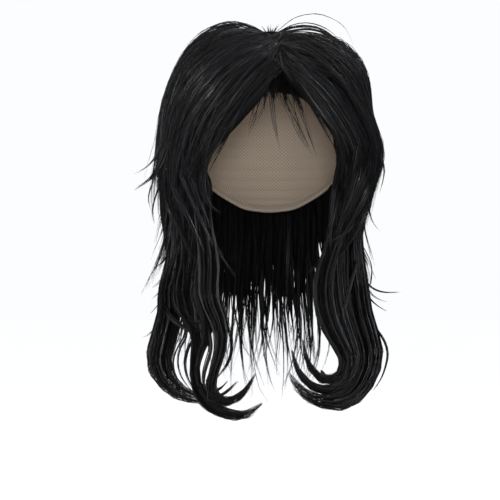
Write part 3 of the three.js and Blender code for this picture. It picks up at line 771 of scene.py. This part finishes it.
# The back layer: jaw-length hair sewn to the weft rows across the back of the head.
# Black modacrylic fibre, cut to uneven ends that flick outwards.
JAW_LENGTH = {"start": 3.15, "half": 10.5, "taper": 0.62}
back_locks = {
    "turn": (130, 150, 170, 190, 210, 230), "end": (7.4, 7.6, 7.3, 7.6, 7.4, 7.5),
    "flick": (10, 16, 10, 14, 12, 10), **JAW_LENGTH,
}
MIDDLE_BED = ("middle", "crown", upright)
hair_piece(
    "back_layer",
    lock_wisps(back_locks, MIDDLE_BED, rng, per_lock=14, fibres=9, ragged=0.3),
    lock_wisps({**back_locks, "end": 6.8}, MIDDLE_BED, rng, per_lock=6, depth=(0.3, 0.6), width="core"),
    seed=3,
)

# The side layers: jaw-length hair over the ears, sewn to the wefts at the temples.
# Black modacrylic fibre; the front ends sweep in past the cheek and the rear ends flick out.
side_locks = {
    "left": {
        "turn": (-55, -70, -88, -107), "lean": (1, 2, 0, 0), "end": (7.4, 7.7, 7.6, 7.5),
        "hook": (4, 0, 0, 0), "flick": (0, 4, 14, 12), **JAW_LENGTH,
    },
    "right": {
        "turn": (59.5, 75, 92, 107), "lean": (-1, -3, 0, 0), "end": (7.5, 7.6, 7.7, 7.4),
        "hook": (-18, 0, 0, 0), "flick": (0, 2, 9, 9), **JAW_LENGTH,
    },
}
jaw_sweeps = {
    "left": route_table(
        SEEN,
        ((-104, -100, -92, -82, -72, -62), (-90, -112, -134, -156, -178, -198), 4.5, 30, 1.02),
        ((-96, -90, -81, -71, -62, -56), (-88, -110, -132, -154, -174, -188), 4.5, 30, 1.0),
        ((-106, -104, -98, -89, -80, -72), (-110, -130, -150, -172, -192, -208), 4.5, 30, 1.03),
        ((-86, -80, -72, -64, -58), (-90, -112, -134, -154, -170), 4, 24, 0.96),
    ),
    "right": route_table(
        SEEN,
        ((106, 101, 92, 81, 70, 60), (-92, -115, -138, -160, -178, -192), 4.5, 30, 1.02),
        ((98, 92, 83, 73, 63), (-95, -118, -140, -160, -176), 4.5, 30, 1.0),
        ((104, 100, 93, 84, 74, 62), (-118, -136, -154, -172, -188, -202), 4.5, 30, 1.03),
        ((90, 84, 76, 68), (-100, -122, -144, -164), 4, 24, 0.96),
    ),
}
sweep_rng = np.random.default_rng(12)
for side, locks in side_locks.items():
    hair_piece(
        f"side_layer_{side}",
        route_wisps(jaw_sweeps[side], sweep_rng),
        lock_wisps(
            locks, MIDDLE_BED, rng, per_lock=16, fibres=10, depth=(0.2, 1), ragged=0.35, bend=1.8,
        ),
        lock_wisps(
            {**locks, "end": 6.8}, MIDDLE_BED, rng, per_lock=9,
            depth=(0.1, 0.65), width="core", overlap=2.6, widest=5,
        ),
        seed=4,
    )

# The fringe: a band of short hair along the front hairline, with thin wisps that fall over the brow.
# Black modacrylic fibre, tied into the net by hand and thinned with the razor.
fringe_band = {
    "turn": (-30, -15, 0, 15, 28, 40, 52, 62), "end": (3.5, 3.42, 3.38, 3.4, 3.48, 3.8, 4.5, 5.4),
    "start": 1.4, "half": 8.2, "taper": 0.9,
}
PARTING_TURN = 9
COMBED_SHARE, COMBED_FROM, COMBED_TO = 0.4, 1.2, 3.6


def combed(turn, drop):
    """The turn of short hair that is combed off the parting to the hairline."""
    share = COMBED_SHARE + (1 - COMBED_SHARE) * smoothstep(drop, COMBED_FROM, COMBED_TO)
    return PARTING_TURN + (turn - PARTING_TURN) * share


fringe_wisps = route_table(
    "across up half fibres",
    ((0, 3, 6, 12), (-25, -45, -68, -98), 2, 6),
    ((14, 22, 31, 39), (-28, -46, -68, -86), 3, 6),
    ((24, 36, 42, 47), (-30, -65, -82, -95), 3, 7),
    ((8, 20, 32, 44), (-28, -50, -75, -95), 10, 8),
    ((-8, -12, -18, -22), (-28, -45, -60, -75), 7, 7),
    share=0.3,
)
FLOORS["fringe"] = (0.32,) * len(FLOORS["drop"])
FRINGE_BED = ("cap", "fringe", combed)
FRINGE_WIDE = 0.45
hair_piece(
    "fringe",
    lock_wisps(
        fringe_band, FRINGE_BED, rng, per_lock=11, fibres=8,
        depth=(0.1, 1), ragged=0.12, gather=0.1, overlap=6,
    ),
    lock_wisps(
        {**fringe_band, "end": 2.9}, FRINGE_BED, rng, per_lock=5, depth=(0.1, 0.4), width="core",
    ),
    route_wisps(fringe_wisps, rng, width=FRINGE_WIDE),
    seed=5,
)

# The crown layer: the top hair, which leaves the whorl all round and falls over the sides and back.
# Black modacrylic fibre, cut in a shag, with feathered ends that flick out.
SWING_FROM, SWING_FADE = 1.8, 1.1
LEFT_SWING = {"most": -44, "range": 80, "done": 6}
RIGHT_SWING = {"most": 62, "range": 105, "done": 5.2}
LOOSE_WIDE = 0.5
LOOSE = {"width": LOOSE_WIDE, "ragged": 0.4, "ragged_root": 1.5, "bend": 2.5, "overlap": 3}


def swung(turn, drop):
    """The turn that hair from the whorl has reached after a drop, as it swings off the parting."""
    away = turn - PARTING_TURN
    most, reach, done = (
        np.where(away < 0, LEFT_SWING[key], RIGHT_SWING[key]) for key in ("most", "range", "done")
    )
    swing = most * np.maximum(0, 1 - np.abs(away) / reach) ** SWING_FADE
    return turn + swing * smoothstep(drop, SWING_FROM, done)


crown_locks = {
    "turn": (50, 65.5, 83, 100, 118, 136, 154, 172, -170, -152, -134, -116, -98, -80, -64, -48),
    "end": (5.6, 6.4, 6.1, 5.6, 6, 5.6, 6.2, 5.7, 6.1, 5.6, 6.1, 5.7, 5.5, 5.9, 6.2, 5.6),
    "flick": (0, 0, 2, 8, 12, 8, 14, 8, 12, 8, 12, 8, 3, 2, 2, 0),
    "settle": (
        0.32, 0.3, 0.3, 0.28, 0.25, 0.25, 0.25, 0.28, 0.28, 0.25, 0.2, 0.15, 0.12, 0.1, 0.1, 0.15,
    ),
    "notch": (0.1, 0.18, 0.2, 0.18, 0.1, 0.05, 0, 0, 0, 0, 0, 0, 0, 0, 0, 0),
    "start": 0.1, "half": 9.7, "taper": 0.62,
}
crown_flicks = route_table(
    "across up ahead half fibres",
    ((-92, -106, -117, -134), (-62, -100, -117, -128), (48, 40, 36, 32), 4.5, 40),
    ((-98, -111, -121, -135), (-55, -91, -105, -113), (36, 30, 27, 25), 2, 10),
    ((-100, -111, -119), (-56, -86, -100), (20, 16, 14), 1.8, 8),
    ((-102, -116, -120, -115), (-85, -122, -138, -154), (30, 25, 22, 22), 1.4, 8),
    ((-100, -112, -117, -113), (-90, -128, -150, -172), (10, 8, 6, 6), 1.8, 10),
    ((94, 98, 102, 109), (-120, -150, -162, -170), (25, 22, 20, 18), 1.8, 8),
    ((98, 108, 113, 108), (-60, -92, -110, -132), (30, 28, 26, 26), 1.4, 7),
)
crown_loops = route_table(
    "across up ahead half fibres",
    ((-4, -25, -40, -55, -70, -84), (26, 35, 37, 33, 25, 10), (16, 22, 26, 30, 32, 34), 2, 8),
    ((-4, -22, -38, -54, -70, -88), (25, 33, 34.5, 31, 22, 4), (14, 18, 20, 22, 24, 26), 5, 30),
    ((3, 20, 29, 42, 52, 64, 72, 77, 81), (26, 40, 44, 46, 44.5, 39, 33, 25, 14),
     (14, 16, 18, 20, 22, 24, 26, 28, 30), 0.8, 3),
    ((4, 20, 38, 58, 76), (25, 34, 36, 28, 10), (14, 18, 22, 26, 30), 1.2, 4),
    ((4, 24, 46, 66, 82), (25, 33, 34, 22, 5), (10, 8, 6, 4, 2), 1.5, 5),
    ((4, 18, 36, 56, 78), (25, 31, 32.5, 26, 5), (18, 26, 30, 34, 38), 2, 7),
    ((4, 22, 44, 66, 84), (25, 30, 30.5, 20, 0), (12, 14, 16, 18, 20), 3, 10),
    ((4, 20, 40, 62, 82), (24, 28, 28.5, 20, 2), (22, 30, 36, 40, 42), 4, 14),
    ((4, 26, 50, 72, 88), (24, 28, 26, 14, -6), (6, 0, -4, -6, -8), 5, 16),
)
WHORL_AHEAD = 14
TUFT_COUNT, TUFT_REACHES, TUFT_RISES = 22, (4, 13), (-2, 4.5)
ROOT_COUNT, ROOT_REACHES, ROOT_UP, ROOT_WIDE = 9, (2, 8, 20), (21, 18, 10), 6.0


def whorl_route(turn, reaches, up, half, fibres):
    """A route that leaves the whorl at a turn, in radians, through places at some reaches from it."""
    reaches = np.array(reaches)
    return {
        "across": reaches * np.sin(turn), "ahead": WHORL_AHEAD + reaches * np.cos(turn), "up": up,
        "half": half, "fibres": fibres,
    }


tuft_turns = rng.uniform(0, 2 * np.pi, TUFT_COUNT)
tuft_reaches = rng.uniform(*TUFT_REACHES, TUFT_COUNT)
tuft_rises = rng.uniform(*TUFT_RISES, TUFT_COUNT)
whorl_tufts = [
    whorl_route(turn, (0, 0.5 * reach, reach), (18, 25 + rise, 28 + 2 * rise), half=1.2, fibres=4)
    for turn, reach, rise in zip(tuft_turns, tuft_reaches, tuft_rises)
]
whorl_roots = [
    whorl_route(turn, ROOT_REACHES, ROOT_UP, half=0.5, fibres=1)
    for turn in np.arange(ROOT_COUNT) * 2 * np.pi / ROOT_COUNT
]
CROWN_BED = ("crown", "outside", swung)
hair_piece(
    "crown_layer",
    route_wisps(whorl_roots, rng, width=ROOT_WIDE),
    lock_wisps(crown_locks, CROWN_BED, rng, per_lock=14, fibres=8, depth=(0.5, 1.0), ragged=0.3),
    lock_wisps(crown_locks, CROWN_BED, rng, per_lock=5, fibres=3, depth=(0.96, 1.02), **LOOSE),
    lock_wisps(
        {**crown_locks, "end": 5.6}, CROWN_BED, rng, per_lock=8,
        depth=(0.3, 0.75), width="core", overlap=2.3,
    ),
    route_wisps(crown_flicks, rng),
    route_wisps(crown_loops, rng, width=LOOSE_WIDE),
    route_wisps(whorl_tufts, rng, width=LOOSE_WIDE),
    seed=6,
)

# The curtain: the front of the top hair, parted off centre and swept to each side of the face.
# Black modacrylic fibre, the longest of the top layer, its ends turned in to the cheeks.
PARTING_SPAN = 3.6
LEAVES_PARTING = {"turn": (40, 66, 94), "drop": (2.75, 1.9, 0.4)}


def parted(turn, drop):
    """The turn of hair rooted along the parting, which leaves it later the nearer the face it ends."""
    leave = np.interp(np.abs(turn - PARTING_TURN), LEAVES_PARTING["turn"], LEAVES_PARTING["drop"])
    gone = np.clip((drop - leave) / PARTING_SPAN, 0, 1)
    return PARTING_TURN + (turn - PARTING_TURN) * gone * (2 - gone)


curtain_locks = {
    "left": {
        "turn": (-35, -42, -48.5, -55, -62, -69.5, -77, -85),
        "start": (2.15, 2, 1.8, 1.55, 1.2, 0.85, 0.5, 0.2),
        "end": (5.8, 6.2, 6.3, 6.4, 6.2, 6.3, 6.1, 6), "hook": (-12, 0, 2, 0, 0, -1, -2, -2),
        "flick": (-2, 0, 0, 2, 2, 4, 5, 6), "half": 4.9, "taper": 0.62,
        "settle": (0.3, 0.3, 0.3, 0.3, 0.31, 0.33, 0.35, 0.36),
    },
    "right": {
        "turn": (71, 76, 81, 86, 91, 97), "start": (2.3, 2, 1.7, 1.2, 0.75, 0.3),
        "end": (6.5, 6.3, 6.2, 6.4, 6.6, 6.4), "hook": (-8, -4, -2, 0, 0, 0),
        "flick": (-2, 0, 0, 0, 0, 0), "half": 3.6, "taper": 0.62,
        "settle": (0.38, 0.38, 0.36, 0.36, 0.34, 0.34), "notch": (0, 0, 0.05, 0.1, 0.15, 0.2),
    },
}
temple_locks = {
    "left": {"turn": (-52,), "start": 2.2, "end": 6, "half": 5, "taper": 0.7},
    "right": {
        "turn": (47, 52, 57, 62, 67), "start": (2.35, 2.3, 2.2, 2.15, 2.1),
        "end": (5.5, 5.8, 6, 6.2, 6.3), "half": 4, "taper": 0.7, "settle": 0.2,
    },
}
cheek_locks = {
    "left": route_table(SEEN, ((-62, -66, -66, -60, -48), (-80, -110, -128, -143, -152), 5, 36, 0.95)),
    "right": route_table(SEEN, ((88, 84, 77, 69), (-60, -95, -130, -160), 4, 20, 0.9)),
}
FAN_WISP = {"half": 4, "fibres": 10, "share": 1.03}
FAN_WIDE = 0.6
parting_fan = {
    "left": route_table(
        "across up",
        ((5, -8, -24, -42, -60), (20, 17, 11, 0, -16)),
        ((6, -4, -17, -32, -48), (19, 15, 8, -4, -20)),
        ((7, 0, -10, -24, -38), (18, 12, 4, -10, -30)),
        ((8, 3, -4, -14, -25), (18, 11, 1, -13, -30)),
        ((9, 6, 1, -7, -16), (17, 9, -2, -15, -28)),
        ((10, 9, 6, 0, -7), (16, 7, -4, -15, -25)),
        **FAN_WISP,
    ),
    "right": route_table(
        "across up",
        ((10, 11, 13, 18, 24), (16, 7, -2, -11, -20)),
        ((11, 14, 19, 27, 36), (16, 8, -1, -11, -24)),
        ((11, 17, 25, 36, 48), (17, 9, 1, -9, -24)),
        ((11, 20, 31, 45, 60), (18, 12, 5, -5, -21)),
        ((10, 21, 35, 51, 68), (19, 15, 10, 0, -16)),
        **FAN_WISP,
    ),
}
CURTAIN_BED = ("curtain", "outside", parted)
CORE_ROOT_LATER = 0.7
fan_rng = np.random.default_rng(13)
for side, locks in curtain_locks.items():
    curtain_cores = {**locks, "start": np.array(locks["start"]) + CORE_ROOT_LATER, "end": 5.4}
    hair_piece(
        f"curtain_{side}",
        route_wisps(cheek_locks[side], rng),
        lock_wisps(
            locks, CURTAIN_BED, rng, per_lock=12, fibres=13,
            depth=(0.3, 1.02), ragged=0.3, sunk_root=0.25, ragged_root=0.5, gather=0.3,
        ),
        lock_wisps(locks, CURTAIN_BED, rng, per_lock=6, fibres=3, depth=(0.96, 1.04), **LOOSE),
        lock_wisps(
            temple_locks[side], CURTAIN_BED, rng, per_lock=10, fibres=9,
            depth=(0, 0.5), ragged=0.3, ragged_root=0.4, gather=0.2,
        ),
        lock_wisps(curtain_cores, CURTAIN_BED, rng, per_lock=3, depth=(0.3, 0.55), width="core"),
        route_wisps(parting_fan[side], fan_rng, width=FAN_WIDE),
        seed=7,
    )

# The stage: a pale floor under the hanging hair, soft studio lamps and a level camera in front.
# White background paper and a white sky, which look bright to the camera and light the hair faintly.
FLOOR_UP, FLOOR_REACH = -0.47, 6.0
PAPER_WHITE = "#fcfdff"
LAMPS_AIM = Vector((0, 0, -0.12))
floor_mesh = bpy.data.meshes.new("floor")
floor_mesh.from_pydata([
    (x * FLOOR_REACH, y * FLOOR_REACH, FLOOR_UP) for x, y in ((-1, -1), (1, -1), (1, 1), (-1, 1))
], [], [(0, 1, 2, 3)])
floor = placed("floor", floor_mesh)
paper = bpy.data.materials.new("white_background_paper")
paper.use_nodes = True
world = bpy.data.worlds.new("studio")
world.use_nodes = True
bpy.context.scene.world = world
fill(paper.node_tree.nodes["Principled BSDF"], {"Base Color": linear("#101010"), "Roughness": 0.9})
for tree, shader, colour, glow, unseen_glow in (
    (paper.node_tree, "Principled BSDF", "Emission Color", "Emission Strength", 0.15),
    (world.node_tree, "Background", "Color", "Strength", 0.12),
):
    seen = add(tree, "ShaderNodeLightPath", out="Is Camera Ray")
    strength = add(tree, "ShaderNodeMapRange", {"Value": seen, "To Min": unseen_glow, "To Max": 1.0})
    fill(tree.nodes[shader], {colour: linear(PAPER_WHITE), glow: strength})
floor_mesh.materials.append(paper)

for lamp_name, spot, size, power in (
    ("key_softbox", (-1.9, -0.8, 0.5), 0.5, 40),
    ("fill_softbox", (1.9, -0.7, 0.9), 0.5, 56),
    ("top_softbox", (0.5, 0.4, 1.7), 0.8, 8),
    ("front_softbox", (0.0, -2.4, 0.0), 0.5, 14),
    ("rear_softbox", (0.3, 2.0, 0.7), 0.8, 30),
):
    lamp = bpy.data.lights.new(lamp_name, "AREA")
    lamp.size, lamp.energy = size, power
    holder = placed(lamp_name, lamp)
    holder.location = spot
    holder.rotation_mode = "QUATERNION"
    holder.rotation_quaternion = (LAMPS_AIM - Vector(spot)).to_track_quat("-Z", "Y")

camera = bpy.data.cameras.new("camera")
camera.lens, camera.sensor_width = 144, 36
camera_holder = placed("camera", camera)
camera_holder.location = EYE
camera_holder.rotation_euler = (np.pi / 2, 0, 0)
bpy.context.scene.camera = camera_holder
bpy.context.scene.view_settings.view_transform = "Standard"
